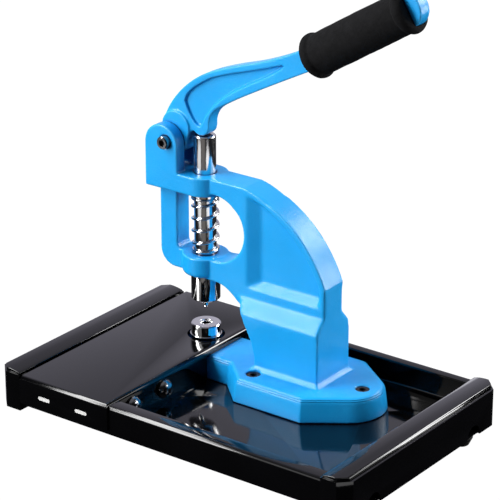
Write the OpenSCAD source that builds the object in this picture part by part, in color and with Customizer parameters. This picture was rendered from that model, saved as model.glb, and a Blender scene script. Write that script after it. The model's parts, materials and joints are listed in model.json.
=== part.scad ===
// Hand press for eyelets: a cast frame with a sprung ram and a hand lever,
// bolted into a sheet steel tray. Millimetres, +Z up, +X along the tray to the
// right, +Y to the back. The origin is the middle of the rest plane.

/* [Tray] */
// Length of the base, end to end
tray_l = 320; // [310:1:340]
// Depth of the base, front to back
tray_d = 200; // [196:1:220]
// Height of the front and back walls
tray_h = 24.6; // [22:0.1:28]
// Thickness of the tray's sheet
tray_sheet = 2; // [1.5:0.1:2.5]
// Bend radius of the tray's sheet, outside
tray_bend = 4; // [3:0.5:5]
// Width of the inturned flange on the front wall
front_flange = 11.8; // [8:0.1:14]
// Width of the inturned flange on the back wall
back_flange = 8.7; // [6:0.1:12]
// Height of the upturned tabs at the tray's ends
end_tab_h = 14; // [10:1:18]

/* [End rails] */
// Width of each end rail
rail_w = 22; // [20:0.5:24]
// Height of each end rail
rail_h = 29.4; // [28:0.1:34]
// How far the rails hang below the tray
rail_drop = 4; // [3:0.5:5]
// Wall of the rails
rail_wall = 2; // [1.5:0.1:2.5]
// Chamfer on the outer upright corners
corner_chamfer = 8.5; // [6:0.5:10]
// Width of the arched notches over the feet
notch_w = 17; // [14:0.5:20]
// Height of the arched notches
notch_h = 9.5; // [9:0.5:12]
// Distance between front and back feet
feet_pitch = 131; // [120:1:140]
// Rise of the domed cap over the rail
cap_rise = 2.9; // [2.4:0.1:4]
// Width of the domed cap
cap_w = 19.4; // [18:0.2:19.8]

/* [Feet] */
// Height of a rubber foot
foot_h = 8; // [6:0.5:12]
// Diameter of a rubber foot at the rail
foot_top_d = 18; // [14:0.5:19]
// Diameter of a rubber foot at the table
foot_bottom_d = 13; // [12.5:0.5:14]

/* [Platform cover] */
// Thickness of the cover's sheet
cover_sheet = 1.6; // [1.2:0.1:2]
// Gap between the left rail and the cover
cover_gap = 3.2; // [1:0.1:6]
// Length of the cover along the tray
cover_l = 83.5; // [78:0.5:88]
// Depth of the cover's front and back flanges
cover_flange = 20.4; // [17:0.2:21]
// Bend radius of the cover's sheet, outside
cover_bend = 3; // [2.5:0.5:4]
// Length of a clip slot in the flange
slot_l = 11.6; // [8:0.2:14]
// Height of a clip slot
slot_h = 3.4; // [3:0.1:4.5]

/* [Press position] */
// Distance from the base's left end to the ram's axis
ram_in = 88.5; // [87:0.5:90]
// Distance from the base's back to the ram's axis
ram_back = 56.5; // [56:0.5:60]

/* [Casting foot] */
// Thickness of the casting's foot
base_t = 18.7; // [16:0.1:20]
// Bevel round the foot's upper edge
base_bevel = 3.5; // [2:0.5:4.5]
// Draft of the foot's walls: how much wider they stand at the tray on each side
base_draft = 2; // [0.5:0.5:3]
// Width of the foot under its bevel
base_w = 87.4; // [84:0.2:91]
// Width of the tongue that carries the lower die, under its bevel
tongue_w = 46; // [42:1:50]
// Radius of the foot's rounded end
base_end_r = 28; // [25:1:33]
// Reach of the foot behind the ram's axis
base_reach = 162; // [158:0.5:168]

/* [Casting column] */
// Width of the column block
column_w = 42; // [38:1:46]
// Reach of the column's back face behind the ram's axis
column_reach = 120; // [116:0.5:124]
// Height of the column block over the tray floor
column_h = 61; // [56:0.5:64]
// Height of the shoulder between column and arm
shoulder_h = 10; // [8:0.5:12]

/* [Casting arm] */
// Thickness of the arm
arm_t = 24; // [22:0.5:28]
// Radius of the arm's outer curve
arm_r = 104.4; // [98:0.2:108]
// Depth of the pocket in each side of the arm
pocket_depth = 5.5; // [3:0.5:7]
// Width of the rim round the pocket
pocket_rim = 6; // [4:0.5:8]
// Radius of the round window behind the spring
window_r = 27; // [24:0.5:28]

/* [Casting bosses and fork] */
// Radius of the guide bosses
boss_r = 18; // [16:0.5:20]
// Underside of the lower boss over the tray floor
lower_boss_z = 76.6; // [75:0.2:79]
// Height of the lower boss
lower_boss_h = 16.4; // [14:0.2:18]
// Underside of the upper boss over the tray floor
upper_boss_z = 143.5; // [140:0.5:146]
// Height of the upper boss
upper_boss_h = 15; // [13:0.5:16]
// Width of the fork block along the tray
fork_l = 30.6; // [28:0.2:33]
// Width of the fork's slot
fork_slot = 15.4; // [14.5:0.1:16.5]
// Place of the fork's rounded top over the slot floor
fork_rise = 21; // [19:0.5:23]
// Length of the front bar along the tray
bar_l = 16; // [14:0.5:18]
// Thickness of the front bar across the tray
bar_t = 16; // [14:0.5:18]

/* [Pivot] */
// Distance from the ram's axis to the pivot, along the tray
pivot_back = 23.9; // [23:0.1:26]
// Height of the pivot over the fork's slot floor
pivot_rise = 23.7; // [23:0.1:25]
// Diameter of the pivot bolt's shank
pivot_d = 6; // [6:0.5:7]
// Diameter of the pivot bolt's head
pivot_head_d = 10; // [9.6:0.2:11]
// Height of the pivot bolt's head
pivot_head_h = 6; // [5.5:0.5:7]
// How deep the pivot bolt's head sits in the cheek
pivot_sunk = 1.4; // [1:0.1:2]

/* [Lever] */
// Thickness of the lever
lever_t = 11.6; // [10:0.2:13]
// Thickness of the lever's hub
hub_t = 15; // [14:0.1:15.1]
// Radius of the hub round the pivot
hub_r = 12; // [11:0.5:12.5]
// Radius of the nose that presses the ram
nose_r = 8; // [7:0.2:8.4]
// Half height of the bar inside the grip
grip_bar_r = 8.5; // [7:0.5:9.5]
// Radius of the lever's rounded tip
lever_tip_r = 12.5; // [11.5:0.5:13.5]
// Slope of the grip when the lever is up
grip_angle = 31.6; // [29:0.2:33]
// Depth of the recess in each side of the lever
lever_recess = 2.6; // [1.5:0.1:3.5]

/* [Grip] */
// Length of the foam grip
grip_l = 99; // [90:1:100]
// Diameter of the foam grip
grip_d = 30.6; // [29.6:0.2:33]
// Diameter of the rolled collars at the grip's ends
grip_collar_d = 34.8; // [33.6:0.2:37]
// Length of each rolled collar
grip_collar_l = 9; // [6:0.5:12]

/* [Ram] */
// Diameter of the ram
ram_d = 17.1; // [16:0.1:18]
// Length of the ram
ram_l = 112; // [110:0.2:114]
// Gap between the nose and the ram when the lever is up
nose_gap = 0.3; // [0.2:0.05:0.6]

/* [Spring] */
// Outside diameter of the return spring
spring_d = 23; // [22.4:0.1:24.5]
// Wire diameter of the return spring
wire_d = 1.9; // [1.5:0.1:2.1]
// Number of open turns
open_turns = 4; // [3:0.25:5]
// Thickness of the washer over the spring
washer_t = 1.8; // [1.2:0.1:2.2]
// Thickness of the ram's retaining ring
ring_t = 1.2; // [1:0.1:1.5]

/* [Dies] */
// Diameter of the upper die
upper_die_d = 22.6; // [20:0.2:25]
// Height of the upper die
upper_die_h = 22; // [19:0.2:22.2]
// Diameter of the lower die
lower_die_d = 23.4; // [21:0.2:25]
// Height of the lower die over the casting's tongue
lower_die_h = 15.5; // [14.5:0.1:17]
// How far the bead stands out round the lower die, over the cover
die_bead = 0.7; // [0.4:0.1:1]
// Diameter of the cover's hole round the lower die
die_hole_d = 29.4; // [28:0.2:31]
// Diameter of the dies' shanks
shank_d = 8; // [7:0.5:9]
// Length of the upper die's tip
tip_l = 7.5; // [6:0.1:8]
// Diameter of the upper die's tip
tip_d = 4.3; // [3.5:0.1:5]

/* [Hidden] */
$fn = 64;
eps = 0.01;

// Colours
gloss_black = "#17171a";
enamel_blue = "#2ba3f5";
steel = "#c9ccd2";
dark_steel = "#2c2c2f";
rubber_black = "#1b1b1c";
foam_black = "#202023";
zinc = "#d8d9d6";

// Clearances
seat = 0.05;          // pieces that sit still beside each other
slide_fit = 0.03;     // ram in its bosses, radial
turn_fit = 0.05;      // lever on its pivot, radial
bolt_fit = 0.3;       // bolts in their holes, radial
cover_fit = 0.6;      // cover round the casting's tongue
foam_fit = 0.15;      // foam round the lever's bar

// Levels
tray_z = foot_h + rail_drop;                  // underside of the tray
floor_z = tray_z + tray_sheet;                // tray floor, where the press stands
wall_top = tray_z + tray_h;                   // top of the front and back walls
rail_top = foot_h + rail_h;
cover_top = wall_top + cover_sheet;

// Plan of the tray
rail_in = tray_l / 2 - rail_w;                // inner face of each end rail
wall_y = tray_d / 2;                          // outer face of the front wall is at -wall_y
cover_x0 = -rail_in + cover_gap;              // left edge of the cover
cover_x1 = cover_x0 + cover_l;                // right face of the cover
cover_skin = seat + cover_sheet;              // the cover's flanges stand this far outside the walls
ram_x = -tray_l / 2 + ram_in;
ram_y = wall_y - ram_back;

// Levels of the press over the tray floor
column_x = 61.5;                              // front face of the column at the foot
throat_x = 18.5;                              // where the throat starts to curve down
lower_boss_top = lower_boss_z + lower_boss_h;
upper_boss_top = upper_boss_z + upper_boss_h;
pivot_z = upper_boss_top + pivot_rise;
pivot_x = -pivot_back;
fork_x1 = -13.1;                              // inner face of the fork block
fork_x0 = fork_x1 - fork_l;
fork_r = fork_l / 2;
fork_w = 2 * boss_r;
bar_x0 = -37.5;
arm_cx = 22.8;                                // centre of the arm's outer curve
arm_crown = 2.4;                              // crown of the curve over the upper boss
arm_cz = upper_boss_top + arm_crown - arm_r;
window_cx = 17.5;
window_cz = (lower_boss_top + upper_boss_z) / 2 + 1.3;

// Motion: the nose stands over the ram's axis when the lever is up
die_gap = 0.4;                                // upper die under the lower boss
ram_z0 = lower_boss_z - die_gap;              // lower end of the ram
ram_top = ram_z0 + ram_l;
nose_z = ram_top + nose_gap + nose_r;
ring_z = upper_boss_z - die_gap - ring_t;     // retaining ring, just under the upper boss
washer_z = ring_z - 0.1 - washer_t;
swing = 40;                                   // travel of the lever, degrees
nose_arm = norm([pivot_back, nose_z - pivot_z]);
nose_rest = atan2(nose_z - pivot_z, pivot_back);
nose_drop = nose_arm * (sin(nose_rest) - sin(nose_rest - swing));
echo("ram travel per radian", nose_drop / (swing * PI / 180), "travel", nose_drop);
echo("pivot in the part's frame", ram_x + pivot_x, ram_y, floor_z + pivot_z);

// Bolts that hold the casting down
bolt_d = 6;
bolt_head_d = 10;
bolt_head_h = 6;
bolt_sites = [[66.5, -28], [66.5, 28], [base_reach - 15, 0]];
counterbore = 7;

// Points along an arc about c from a0 to a1 degrees
function arc(c, r, a0, a1, n = 12) =
    [for (i = [0:n]) c + r * [cos(a0 + (a1 - a0) * i / n), sin(a0 + (a1 - a0) * i / n)]];

// Points along a cubic curve, without its last point
function curve(a, b, c, d, n = 10) = [for (i = [0:n - 1]) let (t = i / n, u = 1 - t)
    u * u * u * a + 3 * u * u * t * b + 3 * u * t * t * c + t * t * t * d];

// Places children in the press's own frame: ram axis, mid-plane, tray floor
module press() {
    translate([ram_x, ram_y, floor_z]) children();
}

// Extrudes a side view, drawn in X and Z, symmetrically to thickness t
module side_slab(t) {
    translate([0, t / 2, 0]) rotate([90, 0, 0]) linear_extrude(t) children();
}

// Extrudes a section, drawn across (Y) and up (Z), from x0 to x1
module section_run(x0, x1) {
    translate([x0, 0, 0]) rotate([90, 0, 90]) linear_extrude(x1 - x0) children();
}

// ---------------------------------------------------------------- tray

// Folded wall: u is measured inwards from its outer face, z from its underside
function wall_profile(h, flange, sheet, bend, lip) = concat(
    arc([bend, bend], bend, 270, 180, 6),
    arc([lip, h - lip], lip, 180, 90, 6),
    [[flange, h], [flange, h - sheet]],
    arc([lip, h - lip], lip - sheet, 90, 180, 6),
    arc([bend, bend], bend - sheet, 180, 270, 6));

tray_lip = tray_sheet + 1.2;

module tray_section() {
    translate([-wall_y, 0])
        polygon(wall_profile(tray_h, front_flange, tray_sheet, tray_bend, tray_lip));
    mirror([1, 0]) translate([-wall_y, 0])
        polygon(wall_profile(tray_h, back_flange, tray_sheet, tray_bend, tray_lip));
    translate([-wall_y + tray_bend - eps, 0])
        square([tray_d - 2 * tray_bend + 2 * eps, tray_sheet]);
}

rail_screw_y = 62;
rail_screw_z = tray_z + 8.5;
rail_screw_d = 4;

module base_tray() {
    tab_y = wall_y - tray_bend - front_flange;
    color(gloss_black) difference() {
        union() {
            translate([0, 0, tray_z]) section_run(-rail_in, rail_in) tray_section();
            for (side = [-1, 1])
                translate([side * (rail_in - tray_sheet / 2) - tray_sheet / 2, -tab_y, tray_z])
                    cube([tray_sheet, 2 * tab_y, end_tab_h]);
        }
        for (site = bolt_sites)
            press() translate([site[0], site[1], -tray_sheet - 1])
                cylinder(d = bolt_d + 2 * bolt_fit, h = tray_sheet + 2);
        for (side = [-1, 1], y = [-rail_screw_y, rail_screw_y])
            translate([side * rail_in, y, rail_screw_z]) rotate([0, 90, 0])
                cylinder(d = rail_screw_d, h = 4 * tray_sheet, center = true);
    }
}

// ---------------------------------------------------------------- end rails

// Plan of the right rail, drawn in by inset on every side, or by inner at the tray
function rail_plan(inset, inner = -1) = let (
        x0 = rail_in + (inner < 0 ? inset : inner), x1 = tray_l / 2 - inset, y = wall_y - inset,
        c = corner_chamfer - inset * (2 - sqrt(2)))
    [[x0, -y], [x1 - c, -y], [x1, -y + c], [x1, y - c], [x1 - c, y], [x0, y]];

module end_rail() {
    notch_r = notch_w / 2;
    notch_in = tray_l / 2 - rail_wall - eps;
    difference() {
        translate([0, 0, foot_h]) linear_extrude(rail_h) polygon(rail_plan(0));
        translate([0, 0, foot_h + rail_wall])
            linear_extrude(rail_h - 2 * rail_wall) polygon(rail_plan(rail_wall));
        for (y = [-feet_pitch / 2, feet_pitch / 2]) {
            translate([notch_in, y - notch_r, foot_h - 1])
                cube([rail_wall + 1, notch_w, notch_h - notch_r + 1]);
            translate([notch_in, y, foot_h + notch_h - notch_r]) rotate([0, 90, 0])
                cylinder(r = notch_r, h = rail_wall + 1);
            translate([rail_in + rail_w / 2, y, foot_h - 1])
                cylinder(d = rail_screw_d + 2 * bolt_fit, h = rail_wall + 2);
        }
        for (y = [-rail_screw_y, rail_screw_y])
            translate([rail_in - 1, y, rail_screw_z]) rotate([0, 90, 0])
                cylinder(d = rail_screw_d + 2 * bolt_fit, h = rail_wall + 2);
    }
}

module right_end_rail() {
    color(gloss_black) end_rail();
}

module left_end_rail() {
    color(gloss_black) mirror([1, 0, 0]) end_rail();
}

// Domed cap: a low crown that falls towards the tray and is round at its outer edge
cap_neck = 0.5;                               // height of the inset neck, which leaves a groove
cap_neck_in = 2;                              // inset of the neck
cap_inset = rail_w - cap_w - 0.4;             // outer edge to the rail's outer face
cap_edge = 0.6;                               // height of the cap's inner edge over its neck

module cap_section() {
    outer = tray_l / 2 - cap_inset;
    inner = outer - cap_w;
    edge_r = cap_rise - cap_neck - cap_edge / 2;
    crest = cap_w * 0.42;
    polygon(concat(
        [[inner + cap_neck_in, 0], [inner + cap_neck_in, cap_neck], [inner, cap_neck],
         [inner, cap_neck + cap_edge]],
        curve([inner, cap_neck + cap_edge], [inner + crest / 3, cap_rise - cap_edge],
              [inner + crest, cap_rise], [outer - crest, cap_rise], 8),
        arc([outer - edge_r, cap_rise - edge_r], edge_r, 90, 0, 8),
        [[outer, cap_neck], [outer - cap_neck_in, cap_neck], [outer - cap_neck_in, 0]]));
}

module rail_cap() {
    intersection() {
        translate([0, wall_y - cap_inset / 2, rail_top]) rotate([90, 0, 0])
            linear_extrude(tray_d - cap_inset) cap_section();
        translate([0, 0, rail_top - 1]) linear_extrude(cap_rise + 2)
            polygon(rail_plan(cap_inset / 2, 0));
    }
}

module right_rail_cap() {
    color(gloss_black) rail_cap();
}

module left_rail_cap() {
    color(gloss_black) mirror([1, 0, 0]) rail_cap();
}

rail_screw_head = 7;

module rail_screws() {
    color(zinc) for (side = [0, 1], y = [-rail_screw_y, rail_screw_y])
        mirror([side, 0, 0]) translate([rail_in, y, rail_screw_z]) {
            translate([-tray_sheet - 1.5, 0, 0]) rotate([0, 90, 0])
                cylinder(d = rail_screw_d - 2 * seat, h = tray_sheet + rail_wall + 1.5);
            translate([rail_wall, 0, 0]) rotate([0, 90, 0])
                cylinder(d = rail_screw_head, h = 2.6);
        }
}

// ---------------------------------------------------------------- feet

foot_screw_head = 7;
foot_recess = 4;

module at_feet() {
    for (side = [-1, 1], y = [-feet_pitch / 2, feet_pitch / 2])
        translate([side * (rail_in + rail_w / 2), y, 0]) children();
}

module rubber_feet() {
    lip = 1;
    color(rubber_black) at_feet() rotate_extrude() polygon(concat(
        [[foot_screw_head / 2 + 0.4, 0]],
        arc([foot_bottom_d / 2 - lip, lip], lip, 270, 320, 4),
        [[foot_top_d / 2, foot_h - 2], [foot_top_d / 2, foot_h], [rail_screw_d / 2 + bolt_fit, foot_h],
         [rail_screw_d / 2 + bolt_fit, foot_recess], [foot_screw_head / 2 + 0.4, foot_recess]]));
}

module foot_screws() {
    color(zinc) at_feet() {
        translate([0, 0, foot_recess - 2.4]) difference() {
            cylinder(d = foot_screw_head, h = 2.4);
            translate([-foot_screw_head, -0.5, -1]) cube([2 * foot_screw_head, 1, 2]);
        }
        translate([0, 0, foot_recess - eps])
            cylinder(d = rail_screw_d, h = foot_h - foot_recess + rail_wall + 5);
        translate([0, 0, foot_h + rail_wall]) cylinder(d = 7.6, h = 3.2, $fn = 6);
    }
}

// ---------------------------------------------------------------- platform cover

cover_screw_in = 28.4;                         // first screw to the base's front
cover_screw_pitch = 37.1;
cover_screw_y = [-wall_y + cover_screw_in, -wall_y + cover_screw_in + cover_screw_pitch];
cover_screw_tail = 8;                         // shank behind the cover's wall
m6_nut_w = 11.5;
m6_nut_h = 5;
m6_key = 5.8;                                 // hex socket of the M6 screws, across its corners
cover_screw_z = tray_z + 14.2;
cover_screw_d = 6;
cover_head_d = 15;
cover_head_h = 5.5;
slot_in = 22.4;                               // first slot to the cover's left edge
slot_pitch = 35.7;
slot_x = [cover_x0 + slot_in, cover_x0 + slot_in + slot_pitch];
over = 5;                                     // how far cutters reach past what they cut
slot_z = wall_top - 11.6;

// Block with rounded upper edges at front, back and right
module cover_block(inset) {
    r = cover_bend - inset;
    y = wall_y + cover_skin - inset;
    z0 = cover_top - cover_flange;
    z1 = cover_top - inset;
    x1 = cover_x1 - inset;
    intersection() {
        section_run(cover_x0 - inset, x1) polygon(concat(
            [[-y, floor_z - 2]], arc([-y + r, z1 - r], r, 180, 90, 6),
            arc([y - r, z1 - r], r, 90, 0, 6), [[y, floor_z - 2]]));
        side_slab(3 * tray_d) polygon(concat(
            [[cover_x0 - 2 * inset, floor_z - 1]], [[cover_x0 - 2 * inset, z1]],
            arc([x1 - r, z1 - r], r, 90, 0, 6), [[x1, floor_z - 1]]));
    }
}

module platform_cover() {
    wall_lo = -wall_y + front_flange + 0.5;
    wall_hi = wall_y - back_flange - 0.5;
    window_w = tongue_w + 2 * base_draft + 2 * cover_fit;
    color(gloss_black) difference() {
        cover_block(0);
        cover_block(cover_sheet);
        // flanges end above the tray's lower edge
        for (y = [-wall_y - over, wall_y - back_flange])
            translate([cover_x0 - over, y, 0])
                cube([cover_l + 2 * over, back_flange + over, cover_top - cover_flange]);
        // right wall stands on the floor between the tray's flanges
        translate([cover_x0 - over, -wall_y, 0])
            cube([cover_l + 2 * over, tray_d, floor_z + seat]);
        for (y = [[-wall_y + eps, wall_lo], [wall_hi, wall_y - eps]])
            translate([cover_x1 - cover_sheet - 1, y[0], 0])
                cube([cover_sheet + 2, y[1] - y[0], wall_top]);
        // window for the casting's tongue, and hole for the lower die
        press() translate([cover_x1 - ram_x - cover_sheet - 4, -window_w / 2, -1])
            cube([cover_sheet + 5, window_w, base_t + cover_fit + 1]);
        press() cylinder(d = die_hole_d, h = 60);
        for (x = slot_x)
            translate([x, -wall_y, slot_z]) hull_slot();
        for (y = cover_screw_y)
            translate([cover_x1 - cover_sheet - 1, y, cover_screw_z]) rotate([0, 90, 0])
                cylinder(d = cover_screw_d + 2 * bolt_fit, h = cover_sheet + 2);
    }
}

// Slot with round ends through the front flange
module hull_slot() {
    for (x = [-1, 1] * (slot_l - slot_h) / 2)
        translate([x, 0, 0]) rotate([90, 0, 0]) cylinder(d = slot_h, h = 10, center = true);
    cube([slot_l - slot_h, 10, slot_h], center = true);
}

// Spring clips on the tray's front wall that show in the cover's slots
module cover_clips() {
    h = slot_h - 0.5;
    l = slot_l - 0.5;
    color(zinc) for (site = slot_x)
        translate([site, -wall_y - (cover_skin - seat) / 2 - seat / 2, slot_z]) {
            for (x = [-1, 1] * (l - h) / 2) translate([x, 0, 0]) rotate([90, 0, 0])
                cylinder(d = h, h = cover_skin - seat, center = true);
            cube([l - h, cover_skin - seat, h], center = true);
        }
}

module cover_screws() {
    color(dark_steel) for (y = cover_screw_y) translate([cover_x1, y, cover_screw_z]) rotate([0, 90, 0]) {
        difference() {
            rotate_extrude() polygon(concat([[0, 0], [cover_head_d / 2, 0], [cover_head_d / 2, 1]],
                curve([cover_head_d / 2, 1], [cover_head_d / 2 - 0.6, 3.4],
                      [cover_head_d / 2 - 3, cover_head_h], [0, cover_head_h], 8),
                [[0, cover_head_h]]));
            translate([0, 0, cover_head_h - 2.4]) cylinder(d = 4.6, h = 4, $fn = 6);
        }
        translate([0, 0, -cover_sheet - cover_screw_tail])
            cylinder(d = cover_screw_d, h = cover_sheet + cover_screw_tail + eps);
    }
}

module cover_nuts() {
    color(zinc) for (y = cover_screw_y)
        translate([cover_x1 - cover_sheet - m6_nut_h, y, cover_screw_z]) rotate([0, 90, 0]) difference() {
            cylinder(d = m6_nut_w, h = m6_nut_h, $fn = 6);
            translate([0, 0, -1]) cylinder(d = cover_screw_d + 2 * seat, h = m6_nut_h + 2);
        }
}

// ---------------------------------------------------------------- frame casting

// Foot behind the tongue, drawn in by inset
function base_plan(inset) = let (
        x0 = 39.5 + inset * 0.4, xa = 61.5 + inset * 0.4, xb = 121.5 - inset * 0.3,
        hw = base_w / 2 - inset, tw = tongue_w / 2 - inset,
        c = [base_reach - base_end_r, 0], r = base_end_r - inset,
        out = [xb, -hw] - c,
        a = atan2(out[1], out[0]) + acos(r / norm(out)))
    concat([[x0, -tw], [xa, -hw], [xb, -hw]], arc(c, r, a, -a, 20), [[xb, hw], [xa, hw], [x0, tw]]);

// Tongue with a round end about the ram's axis
function tongue_plan(inset) = let (hw = tongue_w / 2 - inset)
    concat([[64, hw]], arc([0, 0], hw, 90, 270, 20), [[64, -hw]]);

// Wall with draft under a bevel in two facets: foot, rim, middle and top outlines
module bevelled(foot, rim, middle, top) {
    hull() {
        linear_extrude(eps) polygon(foot);
        translate([0, 0, base_t - base_bevel]) linear_extrude(eps) polygon(rim);
        translate([0, 0, base_t - base_bevel * 0.4]) linear_extrude(eps) polygon(middle);
        translate([0, 0, base_t - eps]) linear_extrude(eps) polygon(top);
    }
}

// Front face of the column, from the foot up to the shoulder
column_front = [[column_x, 0], [column_x, 28], [58.2, 41], [52.4, 52], [47.5, column_h]];

module column() {
    side_slab(column_w) polygon(concat(column_front,
        [[column_reach, column_h], [column_reach, 0]]));
    // shoulder that draws in to the arm
    hull() {
        translate([47.5, -column_w / 2, column_h - eps])
            cube([column_reach - 47.5, column_w, eps]);
        translate([40.5, -arm_t / 2, column_h + shoulder_h])
            cube([column_reach - 40.5, arm_t, eps]);
    }
    // fillet at the foot
    hull() {
        translate([column_x - 3, -column_w / 2 - 3, base_t - eps])
            cube([column_reach - column_x + 6, column_w + 6, eps]);
        translate([column_x, -column_w / 2, base_t + 3])
            cube([column_reach - column_x, column_w, eps]);
    }
}

// Side view of the arm, from the upper boss round to the column
module arm_outline() {
    top = upper_boss_top;
    a_top = asin((top - arm_cz) / arm_r);
    a_back = acos((column_reach - arm_cx) / arm_r);
    polygon(concat(
        [[0, top]],
        arc([arm_cx, arm_cz], arm_r, a_top, a_back, 28),
        [[column_reach, column_h], [44, column_h], [37.5, 65.5]],
        curve([37.5, 65.5], [34, 70.5], [27.5, lower_boss_z - 1], [throat_x, lower_boss_z - 0.6], 8),
        [[throat_x, lower_boss_z - 0.6], [0, lower_boss_z]]));
}

module window_outline() {
    translate([window_cx, window_cz]) circle(r = window_r);
    translate([bar_x0 + bar_l, lower_boss_top])
        square([window_cx - bar_x0 - bar_l, upper_boss_z - lower_boss_top]);
}

// Pocket in the arm's side: lo is the floor's outline, wider at the mouth
function pocket_plan(x0, z0, inset) = let (
        r = arm_r - inset,
        x1 = column_reach - inset,
        a0 = acos((x1 - arm_cx) / r), a1 = acos((x0 - arm_cx) / r))
    concat([[x0, z0], [x1, z0]], arc([arm_cx, arm_cz], r, a0, a1, 20));

module arm_pocket() {
    floor_x = window_cx + window_r + 14;
    mouth_x = window_cx + window_r + 3;
    floor_h = column_h + shoulder_h + 13.5;
    half = arm_t / 2;
    hull() {
        translate([0, half + 1, 0]) rotate([90, 0, 0]) linear_extrude(1)
            polygon(pocket_plan(mouth_x, floor_h - 5.5, pocket_rim - 1));
        translate([0, half - pocket_depth + eps, 0]) rotate([90, 0, 0]) linear_extrude(eps)
            polygon(pocket_plan(floor_x, floor_h, pocket_rim + 1));
    }
}

module fork_block() {
    cz = upper_boss_top + fork_rise;
    side_slab(fork_w) {
        translate([fork_x0, upper_boss_z]) square([fork_l, cz - upper_boss_z]);
        translate([fork_x0 + fork_r, cz]) circle(r = fork_r);
    }
    translate([fork_x1 - 1, -boss_r, upper_boss_z]) cube([1 - fork_x1, fork_w, upper_boss_h]);
}

// Front bar with its rounded lower corner
module front_bar() {
    corner = 14;
    side_slab(bar_t) polygon(concat(
        [[bar_x0 + bar_l, upper_boss_z + 1], [bar_x0, upper_boss_z + 1]],
        arc([bar_x0 + corner, lower_boss_z + corner + 0.5], corner, 180, 270, 10),
        [[0, lower_boss_z + 0.5], [0, lower_boss_top]],
        arc([bar_x0 + bar_l + 4, lower_boss_top + 4], 4, 270, 180, 6)));
}

module lower_boss() {
    edge = 4;
    rotate_extrude() polygon(concat([[0, lower_boss_z]],
        arc([boss_r - edge, lower_boss_z + edge], edge, 270, 360, 6),
        [[boss_r, lower_boss_top], [0, lower_boss_top]]));
}

module frame_casting() {
    color(enamel_blue) press() difference() {
        union() {
            bevelled(base_plan(-base_draft), base_plan(0), base_plan(base_bevel * 0.35), base_plan(base_bevel));
            bevelled(tongue_plan(-base_draft), tongue_plan(0), tongue_plan(base_bevel * 0.35),
                     tongue_plan(base_bevel));
            column();
            difference() {
                side_slab(arm_t) arm_outline();
                side_slab(arm_t + 2) window_outline();
                arm_pocket();
                mirror([0, 1, 0]) arm_pocket();
            }
            lower_boss();
            translate([0, 0, upper_boss_z]) cylinder(r = boss_r, h = upper_boss_h);
            fork_block();
            front_bar();
        }
        // fork slot, open towards the ram
        translate([fork_x0 - 1, -fork_slot / 2, upper_boss_top])
            cube([fork_l + 40, fork_slot, 80]);
        // guide bores for the ram
        translate([0, 0, lower_boss_z - 5]) cylinder(r = ram_d / 2 + slide_fit, h = 150);
        // bore and set screw for the lower die's shank
        translate([0, 0, -1]) cylinder(d = shank_d + 2 * seat, h = base_t + 2);
        translate([-tongue_w / 2 - base_draft, 0, base_t / 2]) rotate([0, 90, 0])
            cylinder(d = set_screw_d, h = tongue_w / 2);
        // pivot bore and its counterbore in the front cheek
        translate([pivot_x, 0, pivot_z]) rotate([90, 0, 0]) {
            cylinder(d = pivot_d + 2 * seat, h = fork_w + 2, center = true);
            translate([0, 0, fork_w / 2 - pivot_sunk])
                cylinder(d = pivot_head_d + 0.8, h = pivot_head_h);
        }
        for (site = bolt_sites) translate([site[0], site[1], -1]) {
            cylinder(d = bolt_d + 2 * bolt_fit, h = base_t + 2);
            translate([0, 0, base_t + 1 - counterbore]) cylinder(d = bolt_head_d + 1, h = counterbore + 5);
        }
    }
}

// ---------------------------------------------------------------- fasteners of the press

bolt_washer_t = 1.6;

module frame_bolts() {
    head_z = base_t - counterbore;
    reach = head_z + tray_sheet + bolt_washer_t + m6_nut_h + 1;
    color(dark_steel) press() for (site = bolt_sites) translate([site[0], site[1], 0]) {
        translate([0, 0, head_z]) difference() {
            cylinder(d = bolt_head_d, h = bolt_head_h);
            translate([0, 0, bolt_head_h - 3]) cylinder(d = m6_key, h = 4, $fn = 6);
        }
        translate([0, 0, head_z - reach]) cylinder(d = bolt_d, h = reach + eps);
    }
}

module frame_washers() {
    color(zinc) press() for (site = bolt_sites)
        translate([site[0], site[1], -tray_sheet - bolt_washer_t]) difference() {
            cylinder(d = 12, h = bolt_washer_t);
            translate([0, 0, -1]) cylinder(d = bolt_d + 0.6, h = bolt_washer_t + 2);
        }
}

module frame_nuts() {
    color(zinc) press() for (site = bolt_sites)
        translate([site[0], site[1], -tray_sheet - bolt_washer_t - m6_nut_h]) difference() {
            cylinder(d = m6_nut_w, h = m6_nut_h, $fn = 6);
            translate([0, 0, -1]) cylinder(d = bolt_d + 2 * seat, h = m6_nut_h + 2);
        }
}

module pivot_bolt() {
    proud = pivot_head_h - pivot_sunk;
    edge = 0.7;
    r = pivot_head_d / 2;
    color(dark_steel) press() translate([pivot_x, -fork_w / 2 - proud, pivot_z]) rotate([-90, 0, 0]) {
        difference() {
            rotate_extrude()
                polygon([[0, 0], [r - edge, 0], [r, edge], [r, pivot_head_h], [0, pivot_head_h]]);
            translate([0, 0, -1]) cylinder(d = m6_key, h = 4, $fn = 6);
        }
        translate([0, 0, pivot_head_h - eps]) cylinder(d = pivot_d, h = fork_w + proud - pivot_head_h + 8);
    }
}

module pivot_nut() {
    color(dark_steel) press() translate([pivot_x, fork_w / 2, pivot_z]) rotate([-90, 0, 0]) difference() {
        cylinder(d = m6_nut_w + pivot_d - bolt_d, h = m6_nut_h, $fn = 6);
        translate([0, 0, -1]) cylinder(d = pivot_d + 2 * seat, h = m6_nut_h + 2);
    }
}

// ---------------------------------------------------------------- lever

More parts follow.
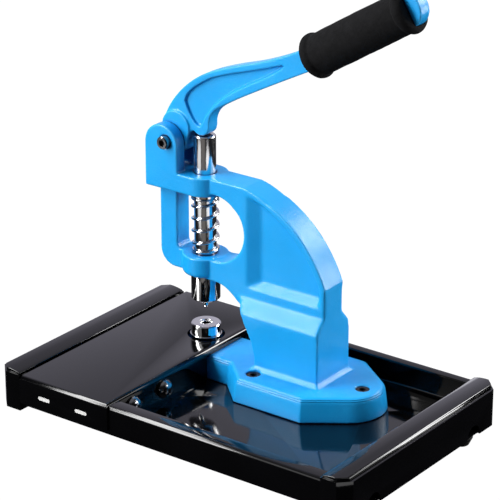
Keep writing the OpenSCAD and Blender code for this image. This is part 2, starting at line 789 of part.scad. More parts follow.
hub_upper = [-22.5, pivot_z + 8.8];           // second centre of the hub
hub_upper_r = 13;
nose = [0, nose_z];
lift = pivot_z - 182.2;                       // keeps the lever's outline with the pivot
grip_start = [99.1, 267.6 + lift];            // grip's end on its axis
grip_dir = [cos(grip_angle), sin(grip_angle)];
grip_up = [-sin(grip_angle), cos(grip_angle)];
tip_in = 3;                                   // tip's centre to the grip's far end
tip_centre = grip_start + (grip_l - tip_in) * grip_dir;
bar_top = grip_start + grip_bar_r * grip_up;
bar_under = grip_start - grip_bar_r * grip_up;

function up(x, z) = [x, z + lift];

module lever_outline() {
    polygon(concat(
        // back and top edge
        curve(up(-35.4, 190), up(-34.5, 205), up(-18, 224.5), up(-2, 234.5)),
        curve(up(-2, 234.5), up(8, 241.2), up(28, 248.3), up(45, 253.4)),
        curve(up(45, 253.4), up(60, 257.9), bar_top - 14 * grip_dir, bar_top),
        [bar_top, bar_under],
        // underside, down to the nose
        curve(bar_under, bar_under - 16 * grip_dir + [0, 1.5], up(40, 228), up(20, 215.6)),
        curve(up(20, 215.6), up(12, 211), up(8, 206), nose + [nose_r, 1]),
        arc(nose, nose_r, 0, -140, 12),
        [hub_upper + [4, -6], hub_upper + [-8, -8]]));
}

module recess_outline() {
    polygon(concat(
        curve(up(-14.5, 213), up(-13.5, 221.5), up(-4, 227.5), up(9.5, 235.6)),
        curve(up(9.5, 235.6), up(23, 242), up(46, 247.5), up(75.5, 258.4)),
        curve(up(75.5, 258.4), up(80.5, 259), up(66, 248.5), up(46.5, 238.4)),
        curve(up(46.5, 238.4), up(24, 226), up(8, 213.5), up(1.8, 198.5)),
        curve(up(1.8, 198.5), up(-1.6, 191.6), up(-6.5, 198.2), up(-11.5, 206.5)),
        [up(-11.5, 206.5)]));
}

// Bar through the grip with its rounded tip, grown by clear for the foam's bore
module grip_bar(clear) {
    side_slab(lever_t + 2 * clear) {
        polygon([bar_top + clear * grip_up - 1 * grip_dir, tip_centre + (grip_bar_r + clear) * grip_up,
                 tip_centre - (grip_bar_r + clear) * grip_up, bar_under - clear * grip_up - 1 * grip_dir]);
        translate(tip_centre) circle(r = lever_tip_r + clear);
    }
}

module handle_lever() {
    color(enamel_blue) press() difference() {
        union() {
            difference() {
                side_slab(lever_t) lever_outline();
                for (side = [-1, 1])
                    translate([0, side * lever_t / 2, 0]) side_slab(2 * lever_recess) recess_outline();
            }
            grip_bar(0);
            side_slab(hub_t) {
                translate([pivot_x, pivot_z]) circle(r = hub_r);
                translate(hub_upper) circle(r = hub_upper_r);
            }
        }
        translate([pivot_x, 0, pivot_z]) rotate([90, 0, 0])
            cylinder(d = pivot_d + 2 * turn_fit, h = hub_t + 2, center = true);
    }
}

// Foam sleeve with a rolled collar at each end
module foam_grip() {
    r = grip_d / 2;
    rc = grip_collar_d / 2;
    roll = grip_collar_l / 2;
    color(foam_black) press() difference() {
        translate([grip_start[0], 0, grip_start[1]]) rotate([0, 90 - grip_angle, 0])
            rotate_extrude() polygon(concat(
                [[0, 0]],
                arc([rc - roll, roll], roll, -90, 60, 8),
                [[r, grip_collar_l + 1.5], [r, grip_l - grip_collar_l - 1.5]],
                arc([rc - roll, grip_l - roll], roll, -60, 90, 8),
                [[0, grip_l]]));
        grip_bar(foam_fit);
    }
}

// ---------------------------------------------------------------- ram, spring and dies

ring_groove_d = ram_d - 2;
ram_chamfer = 0.8;
shank_l = 16;

module ram() {
    r = ram_d / 2;
    color(steel) press() difference() {
        rotate_extrude() polygon([
            [0, ram_z0], [r - ram_chamfer, ram_z0], [r, ram_z0 + ram_chamfer],
            [r, ring_z - seat], [ring_groove_d / 2, ring_z - seat],
            [ring_groove_d / 2, ring_z + ring_t + seat], [r, ring_z + ring_t + seat],
            [r, ram_top - ram_chamfer], [r - ram_chamfer, ram_top], [0, ram_top]]);
        translate([0, 0, ram_z0 - 1]) cylinder(d = shank_d + 2 * seat, h = shank_l + 2);
    }
}

// Open ring that clips into the ram's groove
module retaining_ring() {
    color(dark_steel) press() translate([0, 0, ring_z]) difference() {
        cylinder(d = ram_d + 4, h = ring_t);
        translate([0, 0, -1]) cylinder(d = ring_groove_d + 2 * seat, h = ring_t + 2);
        translate([0, -3, -1]) cube([ram_d, 6, ring_t + 2]);
    }
}

module spring_washer() {
    color(steel) press() translate([0, 0, washer_z]) difference() {
        cylinder(d = spring_d, h = washer_t);
        translate([0, 0, -1]) cylinder(d = ram_d + 2 * seat, h = washer_t + 2);
    }
}

// Return spring: one wire from the lower boss to the washer, with a closed turn at each end
spring_z0 = lower_boss_top + seat + wire_d / 2;
spring_z1 = washer_z - seat - wire_d / 2;
coil_r = (spring_d - wire_d) / 2;
rings_a_turn = 8;
wire_sides = 6;
closed_pitch = wire_d + 0.5;
open_pitch = (spring_z1 - spring_z0 - 2 * closed_pitch) / open_turns;
turns = open_turns + 2;
ring_count = round(turns * rings_a_turn);
start_angle = 65;

function coil_z(t) = t < 1 ? spring_z0 + closed_pitch * t
    : t > turns - 1 ? spring_z1 - closed_pitch * (turns - t)
    : spring_z0 + closed_pitch + open_pitch * (t - 1);

function coil_point(t) =
    [coil_r * cos(start_angle + 360 * t), coil_r * sin(start_angle + 360 * t), coil_z(t)];

wire_centres = [for (i = [0:ring_count]) coil_point(turns * i / ring_count)];
wire_points = [for (i = [0:ring_count]) let (
        angle = start_angle + 360 * turns * i / ring_count,
        outward = [cos(angle), sin(angle), 0])
    for (k = [0:wire_sides - 1]) let (a = 360 * k / wire_sides)
        wire_centres[i] + wire_d / 2 * (cos(a) * outward + sin(a) * [0, 0, 1])];
wire_faces = concat(
    [for (i = [0:ring_count - 1], k = [0:wire_sides - 1]) let (
            a = i * wire_sides + k, b = i * wire_sides + (k + 1) % wire_sides,
            c = a + wire_sides, d = b + wire_sides)
        each [[a, b, d], [a, d, c]]],
    [for (k = [1:wire_sides - 2]) [0, k + 1, k]],
    [for (k = [1:wire_sides - 2]) let (e = ring_count * wire_sides) [e, e + k, e + k + 1]]);
wire_gap = min([for (i = [0:ring_count], j = [i + rings_a_turn / 2:1:ring_count])
    norm(wire_centres[i] - wire_centres[j])]) - wire_d;
echo("least gap of the spring's wire to itself", wire_gap);

module return_spring() {
    color(steel) press() polyhedron(points = wire_points, faces = wire_faces, convexity = 8);
}

module upper_die() {
    r = upper_die_d / 2;
    z0 = ram_z0 - upper_die_h;
    color(steel) press() rotate_extrude() polygon(concat(
        [[0, z0 - tip_l], [tip_d / 2 - 1, z0 - tip_l], [tip_d / 2, z0 - tip_l + 2.4],
         [tip_d / 2, z0 - 1.5], [tip_d / 2 + 1.6, z0], [r - 1.4, z0], [r, z0 + 1.4]],
        [[r, ram_z0 - 0.8], [r - 0.8, ram_z0], [shank_d / 2, ram_z0],
         [shank_d / 2, ram_z0 + shank_l], [0, ram_z0 + shank_l]]));
}

// Lower die: dished top with a raised lip round the pit that takes the tip
module lower_die() {
    r = lower_die_d / 2;
    top = base_t + lower_die_h;
    bead_z = cover_top - floor_z + 0.3;
    bead_t = 1.1;
    pit_r = tip_d / 2 + 0.9;
    rb = r + die_bead;
    color(steel) press() rotate_extrude() polygon([
        [0, 1], [shank_d / 2, 1], [shank_d / 2, base_t], [r, base_t],
        [r, bead_z], [rb - 0.3, bead_z], [rb, bead_z + 0.3], [rb, bead_z + bead_t - 0.3],
        [rb - 0.3, bead_z + bead_t], [r, bead_z + bead_t],
        [r, top - 0.8], [r - 0.8, top], [5, top], [4.6, top - 1.6],
        [pit_r + 0.7, top - 1.6], [pit_r + 0.5, top - 0.7], [pit_r, top - 0.7],
        [pit_r, top - tip_l - 1.5], [0, top - tip_l - 1.5]]);
}

set_screw_d = 5;

module die_set_screw() {
    color(dark_steel) press() translate([-tongue_w / 2 + 1, 0, base_t / 2]) rotate([0, 90, 0]) difference() {
        cylinder(d = set_screw_d - 2 * seat, h = tongue_w / 2 - 1 - shank_d / 2 - seat);
        translate([0, 0, -1]) cylinder(d = 2.6, h = 4, $fn = 6);
    }
}

// ---------------------------------------------------------------- nodes

base_tray();
left_end_rail();
right_end_rail();
left_rail_cap();
right_rail_cap();
platform_cover();
cover_clips();
cover_screws();
cover_nuts();
rubber_feet();
foot_screws();
rail_screws();
frame_casting();
frame_bolts();
frame_washers();
frame_nuts();
pivot_bolt();
pivot_nut();
handle_lever();
foam_grip();
ram();
retaining_ring();
spring_washer();
return_spring();
upper_die();
lower_die();
die_set_screw();
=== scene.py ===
"""Looks of a hand press for eyelets.

Gloss black sheet tray, blue cast frame and lever, bright steel ram and dies.

Metres, in the part's own frame: +Z up, +X along the tray to the right, +Y to the back.
"""
import bmesh
import bpy
import json
import math
from mathutils import Matrix, Vector, noise


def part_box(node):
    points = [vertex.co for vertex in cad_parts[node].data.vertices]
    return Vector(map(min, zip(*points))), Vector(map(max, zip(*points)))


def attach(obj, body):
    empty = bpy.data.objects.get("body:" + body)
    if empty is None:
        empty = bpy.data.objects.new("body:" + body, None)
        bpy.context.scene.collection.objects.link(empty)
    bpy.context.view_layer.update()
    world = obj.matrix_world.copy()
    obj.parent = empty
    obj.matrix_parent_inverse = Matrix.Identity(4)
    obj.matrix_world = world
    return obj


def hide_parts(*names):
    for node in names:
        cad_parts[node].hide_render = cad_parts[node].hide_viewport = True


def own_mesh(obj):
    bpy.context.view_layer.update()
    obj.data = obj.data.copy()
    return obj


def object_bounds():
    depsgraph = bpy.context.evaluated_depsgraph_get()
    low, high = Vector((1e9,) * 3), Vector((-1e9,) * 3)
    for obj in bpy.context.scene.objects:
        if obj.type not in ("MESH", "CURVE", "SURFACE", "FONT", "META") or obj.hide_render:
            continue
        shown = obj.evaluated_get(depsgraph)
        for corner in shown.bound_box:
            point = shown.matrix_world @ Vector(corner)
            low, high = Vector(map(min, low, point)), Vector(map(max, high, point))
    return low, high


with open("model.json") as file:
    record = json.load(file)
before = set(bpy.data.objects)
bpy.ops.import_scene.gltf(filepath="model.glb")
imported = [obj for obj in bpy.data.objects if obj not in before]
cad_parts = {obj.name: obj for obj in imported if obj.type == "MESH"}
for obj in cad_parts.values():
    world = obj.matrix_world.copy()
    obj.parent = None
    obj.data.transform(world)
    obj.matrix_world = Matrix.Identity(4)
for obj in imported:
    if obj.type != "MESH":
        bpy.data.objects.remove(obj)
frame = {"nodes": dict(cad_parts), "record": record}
nodes = frame["nodes"]
cad_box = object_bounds()
MM = 0.001

# ------------------------------------------------------------------ places
ram_low, ram_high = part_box("ram")
ram_axis = Vector(((ram_low.x + ram_high.x) / 2, (ram_low.y + ram_high.y) / 2, 0))

# top of the casting's foot, and how far its bevel goes down from it
FOOT_TOP = 32.7 * MM
BEVEL_START = 0.1 * MM
BEVEL_END = 3.9 * MM

# ------------------------------------------------------------------ camera
VIEW_AZIMUTH = math.radians(36.703)
VIEW_ELEVATION = math.radians(22.254)
CAMERA_PLACE = Vector((1.0078, -1.3474, 0.8283))
SENSOR = 36.0
LENS = 178.65


def add_camera():
    back = Vector((math.sin(VIEW_AZIMUTH) * math.cos(VIEW_ELEVATION),
                   -math.cos(VIEW_AZIMUTH) * math.cos(VIEW_ELEVATION),
                   math.sin(VIEW_ELEVATION)))
    right = Vector((math.cos(VIEW_AZIMUTH), math.sin(VIEW_AZIMUTH), 0))
    up = back.cross(right)
    turn = Matrix((right, up, back)).transposed().to_4x4()
    data = bpy.data.cameras.new("camera")
    data.sensor_width = SENSOR
    data.lens = LENS
    data.clip_end = 50
    camera = bpy.data.objects.new("camera", data)
    camera.matrix_world = Matrix.Translation(CAMERA_PLACE) @ turn
    bpy.context.scene.collection.objects.link(camera)
    bpy.context.scene.camera = camera


# ------------------------------------------------------------------ materials
class Paint:
    """A material with a short way to add nodes."""

    def __init__(self, name):
        self.material = bpy.data.materials.new(name)
        self.material.use_nodes = True
        self.tree = self.material.node_tree
        self.shader = self.tree.nodes["Principled BSDF"]
        coords = self.tree.nodes.new("ShaderNodeTexCoord")
        self.place = coords.outputs["Object"]

    def set(self, **values):
        for name, value in values.items():
            self.shader.inputs[name.replace("_", " ")].default_value = value
        return self

    def link(self, source, target):
        self.tree.links.new(source, target)

    def noise(self, scale, detail=3.0, roughness=0.5, stretch=None):
        node = self.tree.nodes.new("ShaderNodeTexNoise")
        node.inputs["Scale"].default_value = scale
        node.inputs["Detail"].default_value = detail
        node.inputs["Roughness"].default_value = roughness
        source = self.place
        if stretch:
            mapping = self.tree.nodes.new("ShaderNodeMapping")
            mapping.inputs["Scale"].default_value = stretch
            self.link(self.place, mapping.inputs["Vector"])
            source = mapping.outputs["Vector"]
        self.link(source, node.inputs["Vector"])
        return node.outputs["Fac"]

    def ramp(self, source, stops):
        node = self.tree.nodes.new("ShaderNodeValToRGB")
        ramp = node.color_ramp
        while len(ramp.elements) < len(stops):
            ramp.elements.new(0.5)
        for element, (at, colour) in zip(ramp.elements, stops):
            element.position = at
            element.color = (*colour, 1)
        self.link(source, node.inputs["Fac"])
        return node.outputs["Color"]

    def spread(self, source, low, high):
        """A number from low to high as source goes from 0.3 to 0.7."""
        node = self.tree.nodes.new("ShaderNodeMapRange")
        node.inputs["From Min"].default_value = 0.3
        node.inputs["From Max"].default_value = 0.7
        node.inputs["To Min"].default_value = low
        node.inputs["To Max"].default_value = high
        self.link(source, node.inputs["Value"])
        return node.outputs["Result"]

    def add(self, a, b):
        node = self.tree.nodes.new("ShaderNodeMath")
        node.operation = "ADD"
        self.link(a, node.inputs[0])
        self.link(b, node.inputs[1])
        return node.outputs[0]

    def scaled(self, source, factor):
        node = self.tree.nodes.new("ShaderNodeMath")
        node.operation = "MULTIPLY"
        node.inputs[1].default_value = factor
        self.link(source, node.inputs[0])
        return node.outputs[0]

    def mix(self, blend, a, b, factor):
        node = self.tree.nodes.new("ShaderNodeMix")
        node.data_type = "RGBA"
        node.blend_type = blend
        self.link(a, node.inputs[6])
        if isinstance(b, tuple):
            node.inputs[7].default_value = (*b, 1)
        else:
            self.link(b, node.inputs[7])
        if isinstance(factor, float):
            node.inputs[0].default_value = factor
        else:
            self.link(factor, node.inputs[0])
        return node.outputs[2]

    def colour(self, source):
        self.link(source, self.shader.inputs["Base Color"])

    def rough(self, source):
        self.link(source, self.shader.inputs["Roughness"])

    def raised(self, height, distance, strength=1.0, below=None):
        """The normal of a surface raised by height, over the normal below."""
        node = self.tree.nodes.new("ShaderNodeBump")
        node.inputs["Distance"].default_value = distance
        node.inputs["Strength"].default_value = strength
        self.link(height, node.inputs["Height"])
        if below:
            self.link(below, node.inputs["Normal"])
        return node.outputs["Normal"]

    def bump(self, height, distance, strength=1.0, below=None):
        normal = self.raised(height, distance, strength, below)
        self.link(normal, self.shader.inputs["Normal"])
        self.link(normal, self.shader.inputs["Coat Normal"])


def black_sheet():
    paint = Paint("black_sheet").set(IOR=1.5)
    cloud = paint.noise(14, 2)
    paint.colour(paint.ramp(cloud, [(0.35, (0.0012, 0.0012, 0.0014)),
                                    (0.7, (0.0020, 0.0020, 0.0024))]))
    paint.rough(paint.spread(paint.noise(45, 3), 0.05, 0.10))
    paint.bump(paint.noise(70, 2), 0.00003, 0.2)
    return paint.material


def bevel_steps(paint):
    """The height of two fine steps that run along the foot's bevel."""
    place = paint.tree.nodes.new("ShaderNodeSeparateXYZ")
    paint.link(paint.place, place.inputs[0])
    up_bevel = paint.tree.nodes.new("ShaderNodeMapRange")
    up_bevel.inputs["From Min"].default_value = FOOT_TOP - BEVEL_END
    up_bevel.inputs["From Max"].default_value = FOOT_TOP - BEVEL_START
    paint.link(place.outputs["Z"], up_bevel.inputs["Value"])
    return paint.ramp(up_bevel.outputs["Result"], [
        (0.0, (0, 0, 0)), (0.30, (0.04, 0.04, 0.04)), (0.42, (0.5, 0.5, 0.5)),
        (0.62, (0.54, 0.54, 0.54)), (0.74, (1, 1, 1))])


def blue_enamel():
    paint = Paint("blue_enamel").set(IOR=1.5, Specular_IOR_Level=0.28, Coat_Weight=0.22, Coat_Roughness=0.09)
    cloud = paint.noise(22, 4)
    blue = paint.ramp(cloud, [(0.3, (0.006, 0.345, 0.80)), (0.55, (0.009, 0.372, 0.85)),
                              (0.75, (0.014, 0.398, 0.89))])
    # painted highlight: convex edges are paled towards light blue; painted shade: concave corners and
    # creases are darkened
    shape = paint.tree.nodes.new("ShaderNodeNewGeometry").outputs["Pointiness"]
    corner = paint.ramp(shape, [(0.40, (0.70, 0.76, 0.88)), (0.485, (1, 1, 1))])
    painted_edge_highlight = paint.ramp(shape, [(0.515, (0, 0, 0)), (0.60, (0.8, 0.8, 0.8))])
    blue = paint.mix("MULTIPLY", blue, corner, 1.0)
    blue = paint.mix("MIX", blue, (0.18, 0.62, 0.92), painted_edge_highlight)
    # painted shade: the colour is darkened in cavities and gaps, by ambient occlusion within 18 mm
    hollow = paint.tree.nodes.new("ShaderNodeAmbientOcclusion")
    hollow.samples = 6
    hollow.inputs["Distance"].default_value = 18 * MM
    painted_cavity_shade = paint.ramp(hollow.outputs["AO"], [
        (0.22, (0.01, 0.015, 0.05)), (0.42, (0.35, 0.45, 0.65)),
        (0.62, (0.9, 0.93, 0.97)), (0.8, (1, 1, 1))])
    paint.colour(paint.mix("MULTIPLY", blue, painted_cavity_shade, 1.0))
    paint.rough(paint.spread(paint.noise(120, 4), 0.30, 0.46))
    fine = paint.scaled(paint.noise(750, 3, 0.6), 0.6)
    coarse = paint.scaled(paint.noise(210, 3, 0.6), 0.5)
    stepped = paint.raised(bevel_steps(paint), 1.6 * MM)
    paint.bump(paint.add(fine, coarse), 0.45 * MM, 0.6, stepped)
    return paint.material


def polished_steel(name, roughness, tone=0.78):
    paint = Paint(name).set(Metallic=1.0)
    paint.colour(paint.ramp(paint.noise(60, 3), [(0.3, (tone * 0.94,) * 3),
                                                 (0.7, (tone, tone, tone * 1.02))]))
    paint.rough(paint.spread(paint.noise(900, 3, 0.6, (1, 1, 0.08)), roughness * 0.7, roughness * 1.4))
    paint.bump(paint.noise(1500, 2, 0.5, (1, 1, 0.12)), 0.00001, 0.25)
    return paint.material


def zinc_plate():
    paint = Paint("zinc").set(Metallic=1.0)
    paint.colour(paint.ramp(paint.noise(300, 3), [(0.3, (0.66, 0.67, 0.66)), (0.7, (0.8, 0.8, 0.78))]))
    paint.rough(paint.spread(paint.noise(500, 3), 0.18, 0.32))
    return paint.material


def bright_zinc():
    paint = Paint("bright_zinc").set(Metallic=0.25, IOR=1.5)
    paint.colour(paint.ramp(paint.noise(300, 3), [(0.3, (0.86, 0.86, 0.84)), (0.7, (0.93, 0.93, 0.92))]))
    paint.rough(paint.spread(paint.noise(500, 3), 0.25, 0.4))
    return paint.material


def black_chrome():
    paint = Paint("black_chrome").set(Metallic=1.0)
    paint.colour(paint.ramp(paint.noise(400, 3), [(0.3, (0.28, 0.28, 0.285)), (0.7, (0.34, 0.34, 0.345))]))
    paint.rough(paint.spread(paint.noise(300, 3), 0.08, 0.16))
    return paint.material


def black_oxide():
    paint = Paint("black_oxide").set(Metallic=0.6, IOR=1.5)
    paint.colour(paint.ramp(paint.noise(400, 3), [(0.3, (0.012, 0.012, 0.014)), (0.7, (0.03, 0.03, 0.033))]))
    paint.rough(paint.spread(paint.noise(700, 3), 0.16, 0.28))
    return paint.material


def rubber():
    paint = Paint("rubber").set(IOR=1.5)
    paint.colour(paint.ramp(paint.noise(200, 3), [(0.3, (0.006, 0.006, 0.006)),
                                                  (0.7, (0.012, 0.012, 0.012))]))
    paint.rough(paint.spread(paint.noise(300, 3), 0.5, 0.7))
    paint.bump(paint.noise(900, 2), 0.00005, 0.5)
    return paint.material


def foam():
    paint = Paint("foam").set(IOR=1.25)
    paint.colour(paint.ramp(paint.noise(160, 5, 0.7), [(0.3, (0.0035, 0.0035, 0.004)),
                                                       (0.7, (0.008, 0.008, 0.009))]))
    paint.rough(paint.spread(paint.noise(400, 3), 0.85, 0.98))
    pores = paint.add(paint.scaled(paint.noise(1400, 3, 0.6), 0.7), paint.noise(420, 3, 0.7))
    paint.bump(pores, 0.0006, 0.6)
    return paint.material


# ------------------------------------------------------------------ mesh helpers
def new_piece(name, mesh, material, body, replaces=()):
    piece = bpy.data.objects.new(name, mesh)
    mesh.materials.clear()
    mesh.materials.append(material)
    bpy.context.scene.collection.objects.link(piece)
    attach(piece, body)
    if replaces:
        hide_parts(*replaces)
    return piece


def baked(piece):
    """The piece's mesh with its modifiers applied."""
    graph = bpy.context.evaluated_depsgraph_get()
    return bpy.data.meshes.new_from_object(piece.evaluated_get(graph))


def joined_copy(node):
    """A node's mesh as one skin, with its split corners joined."""
    mesh = nodes[node].data.copy()
    mesh.materials.clear()
    work = bmesh.new()
    work.from_mesh(mesh)
    bmesh.ops.remove_doubles(work, verts=work.verts, dist=1e-6)
    work.to_mesh(mesh)
    work.free()
    return mesh


SMOOTH_STEP = 0.5                           # how far a vertex moves to its neighbours in a round


def remeshed(node, name, voxel, rounds):
    """A smoothed skin of small squares over a node's own shape, as a new mesh."""
    piece = bpy.data.objects.new(name + "_work", joined_copy(node))
    bpy.context.scene.collection.objects.link(piece)
    remesh = piece.modifiers.new("skin", "REMESH")
    remesh.mode = "VOXEL"
    remesh.voxel_size = voxel
    smooth = piece.modifiers.new("soften", "SMOOTH")
    smooth.factor = SMOOTH_STEP
    smooth.iterations = rounds
    skin = baked(piece)
    bpy.data.objects.remove(piece)
    return skin


ZONE_FADE = 5 * MM                          # how far past its box a zone's smoothing reaches
ZONE_ROUNDS = 45


def smooth_zones(piece, zones):
    """Rounds more inside the zones: boxes in X and Z, as (low, high) pairs."""
    group = piece.vertex_groups.new(name="soft")
    for vert in piece.data.vertices:
        weight = 0
        for low, high in zones:
            gap = max(max(low[i] - vert.co[i], vert.co[i] - high[i]) for i in (0, 2))
            weight = max(weight, min(max(1 - gap / ZONE_FADE, 0), 1))
        if weight:
            group.add([vert.index], weight, "REPLACE")
    soften = piece.modifiers.new("soften_zone", "SMOOTH")
    soften.factor = SMOOTH_STEP
    soften.iterations = ZONE_ROUNDS
    soften.vertex_group = group.name


def soft_cast(node, name, material, body, voxel, rounds, keep, zones=()):
    """A cast piece: the node's own shape with its edges and corners rounded as foundry sand leaves them."""
    piece = bpy.data.objects.new(name + "_work", remeshed(node, name, voxel, rounds))
    bpy.context.scene.collection.objects.link(piece)
    if zones:
        smooth_zones(piece, zones)
    thin = piece.modifiers.new("thin", "DECIMATE")
    thin.ratio = keep
    result = baked(piece)
    bpy.data.objects.remove(piece)
    result.name = name
    result.shade_smooth()
    return new_piece(name, result, material, body, [node])


def edged(node, name, material, body, width, segments=2, angle=30, smooth_angle=40):
    """The node's own shape with its sharp edges broken by a small round."""
    mesh = joined_copy(node)
    work = bmesh.new()
    work.from_mesh(mesh)
    bmesh.ops.dissolve_limit(work, angle_limit=math.radians(0.6), verts=work.verts, edges=work.edges)
    sharp = [e for e in work.edges if len(e.link_faces) == 2 and e.calc_face_angle(0) > math.radians(angle)]
    bmesh.ops.bevel(work, geom=sharp, offset=width, segments=segments, profile=0.6,
                    affect="EDGES", clamp_overlap=True)
    bmesh.ops.remove_doubles(work, verts=work.verts, dist=1e-6)
    work.to_mesh(mesh)
    work.free()
    mesh.shade_smooth()
    mesh.set_sharp_from_angle(angle=math.radians(smooth_angle))
    mesh.name = name
    return new_piece(name, mesh, material, body, [node])


def wound_wire(name, material, body, node, wire_d, turns, closed_pitch, start,
               sides=14, steps=56):
    """A smooth compression spring in the node's own box, with a closed turn and a blunt end at each end."""
    low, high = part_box(node)
    cx, cy = ram_axis.x, ram_axis.y
    coil_r = (high.x - low.x + high.y - low.y) / 4 - wire_d / 2
    z0, z1 = low.z + wire_d / 2, high.z - wire_d / 2
    pitch = (z1 - z0 - 2 * closed_pitch) / (turns - 2)
    count = int(turns * steps)
    work = bmesh.new()
    rings = []
    for i in range(count + 1):
        t = turns * i / count
        # the first and the last turn are closed, and those between are open
        if t < 1:
            z = z0 + closed_pitch * t
        elif t > turns - 1:
            z = z1 - closed_pitch * (turns - t)
        else:
            z = z0 + closed_pitch + pitch * (t - 1)
        angle = math.radians(start) + 2 * math.pi * t
        out = Vector((math.cos(angle), math.sin(angle), 0))
        centre = Vector((cx, cy, z)) + out * coil_r
        rings.append([work.verts.new(centre + wire_d / 2 * (math.cos(a) * out + Vector((0, 0, math.sin(a)))))
                      for a in (2 * math.pi * k / sides for k in range(sides))])
    for one, two in zip(rings, rings[1:]):
        for k in range(sides):
            work.faces.new((one[k], one[(k + 1) % sides], two[(k + 1) % sides], two[k]))
    work.faces.new(list(reversed(rings[0])))
    work.faces.new(rings[-1])
    bmesh.ops.recalc_face_normals(work, faces=work.faces)
    mesh = bpy.data.meshes.new(name)
    work.to_mesh(mesh)
    work.free()
    mesh.shade_smooth()
    mesh.set_sharp_from_angle(angle=math.radians(60))
    return new_piece(name, mesh, material, body, [node])


FOAM_SKIN_R = 14.2 * MM                     # what lies nearer the axis is the bore, and stays smooth
FOAM_SWELL = 0.35 * MM
FOAM_LUMPS = ((70, 0.28 * MM), (260, 0.10 * MM))    # how fine and how high


def foam_sleeve(node, name, material, body, start, along):
    """The foam sleeve: the node's own shape, a little swollen in the middle and uneven as foam is."""
    result = remeshed(node, name, 0.8 * MM, 3)
    length = max((vert.co - start).dot(along) for vert in result.vertices)
    for vert in result.vertices:
        offset = vert.co - start
        s = offset.dot(along)
        out = offset - s * along
        if out.length < FOAM_SKIN_R:
            continue
        lump = sum(noise.noise(vert.co * scale) * height for scale, height in FOAM_LUMPS)
        swell = FOAM_SWELL * math.sin(math.pi * min(max(s / length, 0), 1))
        vert.co += out.normalized() * (lump + swell)
    result.name = name
    result.shade_smooth()
    return new_piece(name, result, material, body, [node])


# ------------------------------------------------------------------ light and floor
def heading(turn, rise):
    """The direction at turn degrees to the right of the camera's side and rise degrees over the horizon."""
    front = Vector((math.sin(VIEW_AZIMUTH), -math.cos(VIEW_AZIMUTH), 0))
    right = Vector((math.cos(VIEW_AZIMUTH), math.sin(VIEW_AZIMUTH), 0))
    flat = front * math.cos(math.radians(turn)) + right * math.sin(math.radians(turn))
    return flat * math.cos(math.radians(rise)) + Vector((0, 0, math.sin(math.radians(rise))))


STUDIO_CENTRE = Vector((-0.02, 0.02, 0.10))
FRONT_RIM = Vector((0, cad_box[0][1], 0.035))
RIGHT_RIM = Vector((cad_box[1][0], 0, 0.038))


def panel(name, turn, rise, distance, size, radiance, aim=STUDIO_CENTRE):
    """A soft light panel that faces the press."""
    data = bpy.data.lights.new(name, "AREA")
    data.shape = "RECTANGLE"
    data.size, data.size_y = size
    data.energy = math.pi * size[0] * size[1] * radiance
    light = bpy.data.objects.new(name, data)
    back = heading(turn, rise)
    light.location = aim + back * distance
    light.rotation_euler = back.to_track_quat("Z", "Y").to_euler()
    light.visible_camera = False
    bpy.context.scene.collection.objects.link(light)


def add_world(base, lobes):
    """Dim surroundings with soft bright regions: (turn, rise, inner angle, outer angle, colour)."""
    world = bpy.data.worlds.new("studio")
    bpy.context.scene.world = world
    world.use_nodes = True
    tree = world.node_tree
    background = tree.nodes["Background"]
    coords = tree.nodes.new("ShaderNodeTexCoord")
    total = None
    for turn, rise, inner, outer, colour in lobes:
        dot = tree.nodes.new("ShaderNodeVectorMath")
        dot.operation = "DOT_PRODUCT"
        dot.inputs[1].default_value = heading(turn, rise)
        tree.links.new(coords.outputs["Generated"], dot.inputs[0])
        spread = tree.nodes.new("ShaderNodeMapRange")
        spread.interpolation_type = "SMOOTHSTEP"
        spread.inputs["From Min"].default_value = math.cos(math.radians(outer))
        spread.inputs["From Max"].default_value = math.cos(math.radians(inner))
        tree.links.new(dot.outputs["Value"], spread.inputs["Value"])
        tint = tree.nodes.new("ShaderNodeVectorMath")
        tint.operation = "SCALE"
        tint.inputs[0].default_value = colour
        tree.links.new(spread.outputs["Result"], tint.inputs["Scale"])
        join = tree.nodes.new("ShaderNodeVectorMath")
        join.operation = "ADD"
        tree.links.new(tint.outputs["Vector"], join.inputs[0])
        if total is None:
            join.inputs[1].default_value = base
        else:
            tree.links.new(total, join.inputs[1])
        total = join.outputs["Vector"]
    tree.links.new(total, background.inputs["Color"])
    background.inputs["Strength"].default_value = 1.0


def sheet_of_light(name, centre, size, radiance, camera=False, glossy=False, diffuse=False):
    """A flat bright patch on the table, seen only by the camera, by reflections or by diffuse light."""
    work = bmesh.new()
    bmesh.ops.create_grid(work, x_segments=4, y_segments=4, size=0.5)
    bmesh.ops.scale(work, vec=(size[0], size[1], 1), verts=work.verts)
    mesh = bpy.data.meshes.new(name)
    work.to_mesh(mesh)
    work.free()
    patch = bpy.data.objects.new(name, mesh)
    patch.location = centre
    bpy.context.scene.collection.objects.link(patch)
    paint = Paint(name).set(Roughness=1.0, IOR=1.0, Emission_Strength=radiance)
    paint.shader.inputs["Base Color"].default_value = (0, 0, 0, 1)
    cloud = paint.ramp(paint.noise(2, 2), [(0.3, (0.985, 0.985, 0.985)), (0.7, (1, 1, 1))])
    paint.link(cloud, paint.shader.inputs["Emission Color"])
    mesh.materials.append(paint.material)
    patch.visible_camera = camera
    patch.visible_glossy = glossy
    patch.visible_diffuse = diffuse
    patch.visible_shadow = False
    patch.visible_transmission = False


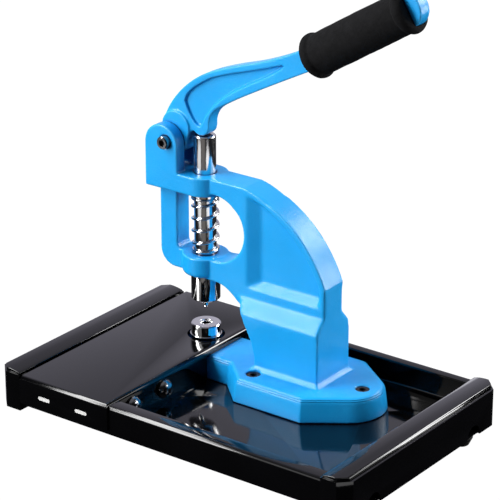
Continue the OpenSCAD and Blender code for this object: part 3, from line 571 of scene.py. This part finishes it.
def add_studio():
    sheet_of_light("backdrop", (0, 0, -0.0005), (14, 14), 1.05, camera=True)
    sheet_of_light("table", (0, 0, -0.0008), (1.6, 1.6), 0.25, diffuse=True)
    left = ram_axis + heading(-58, 0) * 0.56
    sheet_of_light("table_left", (left.x, left.y, -0.001), (0.32, 0.36), 1.0, glossy=True)
    right = ram_axis + heading(29, 0) * 0.52
    sheet_of_light("table_right", (right.x, right.y, -0.001), (0.24, 0.26), 1.4, glossy=True)
    add_world((0.012, 0.012, 0.014), [
        (180, 22, 10, 60, (0.48, 0.465, 0.555)),
        (180, -4, 2, 8, (0.8, 0.8, 0.85)),
        (-18, -20, 5, 30, (0.16, 0.15, 0.14)),
        (0, 90, 15, 55, (0.24, 0.24, 0.26)),
    ])
    # each with its turn, rise, distance, size, radiance and what it faces
    panel("key_broad", -62, 22, 1.5, (1.2, 0.8), 1.3)
    panel("strip_low", -71, 15, 2.2, (0.70, 0.95), 16, FRONT_RIM)
    panel("strip_mid", -82, 37, 2.2, (0.70, 0.62), 16, FRONT_RIM)
    panel("strip_high", -99, 50, 2.2, (0.62, 0.50), 15, FRONT_RIM)
    panel("strip_top", -124, 56, 2.2, (0.70, 0.40), 13, FRONT_RIM)
    panel("right_back", 84, 18, 1.5, (0.80, 0.70), 4.0)
    panel("right_strip_low", 104, 8, 2.2, (0.40, 1.15), 16, RIGHT_RIM)
    panel("right_strip_high", 121, 34, 2.2, (1.0, 0.55), 16, RIGHT_RIM)
    bpy.context.scene.view_settings.view_transform = "Standard"


# ------------------------------------------------------------------ the press
add_camera()
SHEET = black_sheet()
BLUE = blue_enamel()
CHROME = polished_steel("chrome", 0.05)
GROUND = polished_steel("ground_steel", 0.13, 0.72)
ZINC = zinc_plate()
BRIGHT = bright_zinc()
SCREW = black_chrome()
OXIDE = black_oxide()
RUBBER = rubber()
FOAM = foam()

FINISH = {
    "black_sheet": SHEET, "blue_enamel": BLUE, "chrome": CHROME, "zinc": ZINC,
    "black_oxide": OXIDE, "rubber": RUBBER, "foam": FOAM,
}
OWN_FINISH = {"ram": GROUND, "cover_clips": BRIGHT, "foot_screws": BRIGHT, "cover_screws": SCREW,
              "pivot_bolt": SCREW}
for entry in frame["record"]["subparts"]:
    mesh = nodes[entry["node"]].data
    mesh.materials.clear()
    mesh.materials.append(OWN_FINISH.get(entry["node"], FINISH[entry["material_slot"]]))

# the shoulder with the pocket's floor, and the pocket's wall beside the window
SOFT_ZONES = [
    ((-34 * MM, 0, 73 * MM), (55 * MM, 0, 102 * MM)),
    ((-30 * MM, 0, 102 * MM), (-6 * MM, 0, 165 * MM)),
]
soft_cast("frame_casting", "cast_frame", BLUE, "frame", 0.65 * MM, 9, 0.4, SOFT_ZONES)
soft_cast("handle_lever", "cast_lever", BLUE, "handle", 0.6 * MM, 14, 0.4)

# the sleeve's axis, from its end nearer the ram
SLEEVE_ANGLE = math.radians(31.6)
SLEEVE_START = Vector((27.6 * MM, ram_axis.y, 281.6 * MM))
SLEEVE_ALONG = Vector((math.cos(SLEEVE_ANGLE), 0, math.sin(SLEEVE_ANGLE)))
sleeve = foam_sleeve("foam_grip", "foam_sleeve", FOAM, "handle", SLEEVE_START, SLEEVE_ALONG)

WIRE_D = 1.9 * MM
TURNS = 6
CLOSED_PITCH = 2.4 * MM
WIRE_START = 65                             # degrees from +X to the wire's lower end
spring = wound_wire("wound_spring", CHROME, "frame", "return_spring",
                    WIRE_D, TURNS, CLOSED_PITCH, WIRE_START)
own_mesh(spring)

SHEET_EDGE = 0.5 * MM
TURNED_EDGE = 0.28 * MM
for node in ("base_tray", "left_end_rail", "right_end_rail", "left_rail_cap", "right_rail_cap",
             "platform_cover"):
    edged(node, node + "_sheet", SHEET, "frame", SHEET_EDGE)
edged("lower_die", "lower_die_turned", CHROME, "frame", TURNED_EDGE, 3)
edged("upper_die", "upper_die_turned", CHROME, "plunger", TURNED_EDGE, 3)
edged("ram", "ram_ground", GROUND, "plunger", TURNED_EDGE, 3)

add_studio()
